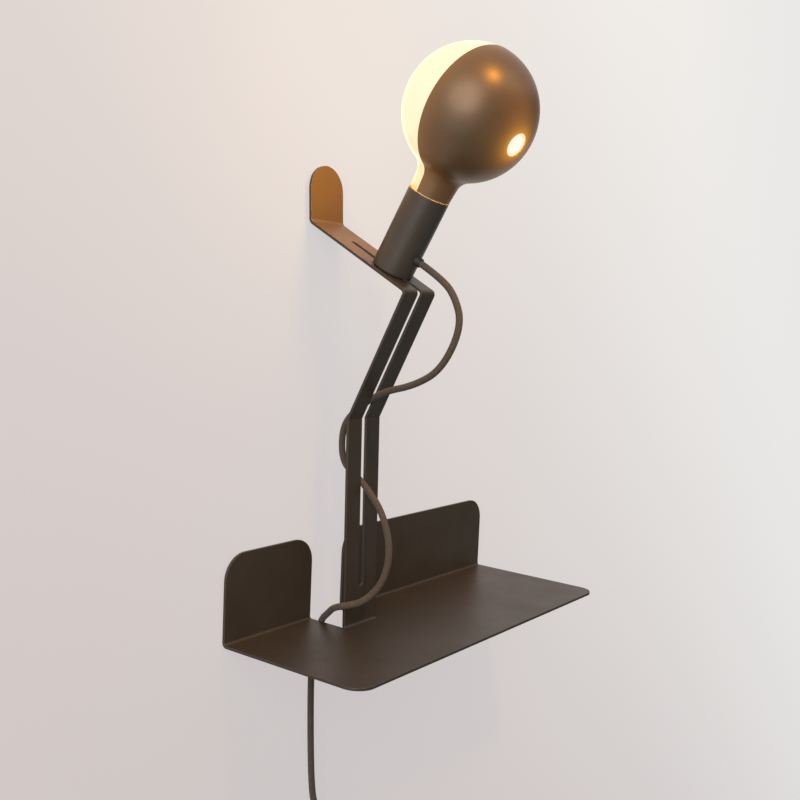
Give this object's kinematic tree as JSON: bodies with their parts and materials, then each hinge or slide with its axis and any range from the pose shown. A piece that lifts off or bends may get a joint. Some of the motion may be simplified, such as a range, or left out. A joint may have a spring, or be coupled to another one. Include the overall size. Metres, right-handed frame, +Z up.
{
  "type": "wall lamp with shelf",
  "caption": "Wall lamp folded from one sheet: shelf with flanges, slotted strip and arm, sliding lampholder, globe bulb with half shell, threaded cord.",
  "frame": {"origin": "the wall screw's axis at the wall, behind the bracket's top tab", "axes": "+X along the wall to the right as one faces it, +Y into the wall, +Z up"},
  "size_m": [0.4415, 0.238, 0.9937],
  "materials": {
    "bracket_paint": "satin powder coat",
    "tube_paint": "satin powder coat",
    "shell_paint": "satin lacquer",
    "zinc": "zinc plated",
    "black_steel": "blackened",
    "opal_glass": "opal",
    "black_plastic": "semi gloss",
    "matt_black": "matt",
    "white_plastic": "matt",
    "porcelain": "unglazed",
    "brass": "bright",
    "nickel": "nickel plated",
    "board": "solder resist",
    "aluminium": "as cast",
    "core": "insulation",
    "textile": "woven sleeve",
    "rubber": "soft"
  },
  "bodies": {
    "bracket": {"folded_bracket": "bracket_paint", "wall_hanger": "zinc", "cord_lower": "textile", "cord_coil": "textile", "coil_tie": "rubber", "switch_front_shell": "black_plastic", "switch_back_shell": "black_plastic", "rocker_pin": "zinc", "switch_contacts": "brass", "switch_screws": "zinc", "plug_relief": "rubber", "plug_body": "black_plastic", "plug_pins": "nickel"},
    "lamp_head": {"lampholder_tube": "tube_paint", "threaded_stem": "brass", "stem_nut": "brass", "clamp_screw": "black_steel", "clamp_washer": "black_steel", "cord_gland": "matt_black", "gland_nut": "matt_black", "socket_base": "porcelain", "socket_skirt": "matt_black", "thread_sleeve": "brass", "centre_contact": "brass", "side_contact": "brass", "terminal_screws": "brass", "core_wires": "core", "cord_upper": "textile"},
    "bulb": {"globe_glass": "opal_glass", "half_shell": "shell_paint", "bulb_cap": "nickel", "cap_insulator": "black_plastic", "cap_contact": "brass", "bulb_collar": "white_plastic", "driver_board": "board", "light_carrier": "aluminium", "light_board": "white_plastic"},
    "rocker": {"switch_rocker": "black_plastic"}
  },
  "joints": [
    {"name": "head_slide", "type": "slide", "parent": "bracket", "child": "lamp_head", "axis": [0, 0.8453, 0.5343], "range_m": [-0.015, 0.05]},
    {"name": "bulb_turn", "type": "hinge", "parent": "lamp_head", "child": "bulb", "pos_m": [0, -0.08772, -0.08146], "axis": [0, -0.5343, 0.8453], "range_deg": [0, 300]},
    {"name": "rocker_rock", "type": "hinge", "parent": "bracket", "child": "rocker", "pos_m": [-0.028, -0.0182, -0.67], "axis": [1, 0, 0], "range_deg": [0, 16]}
  ]
}
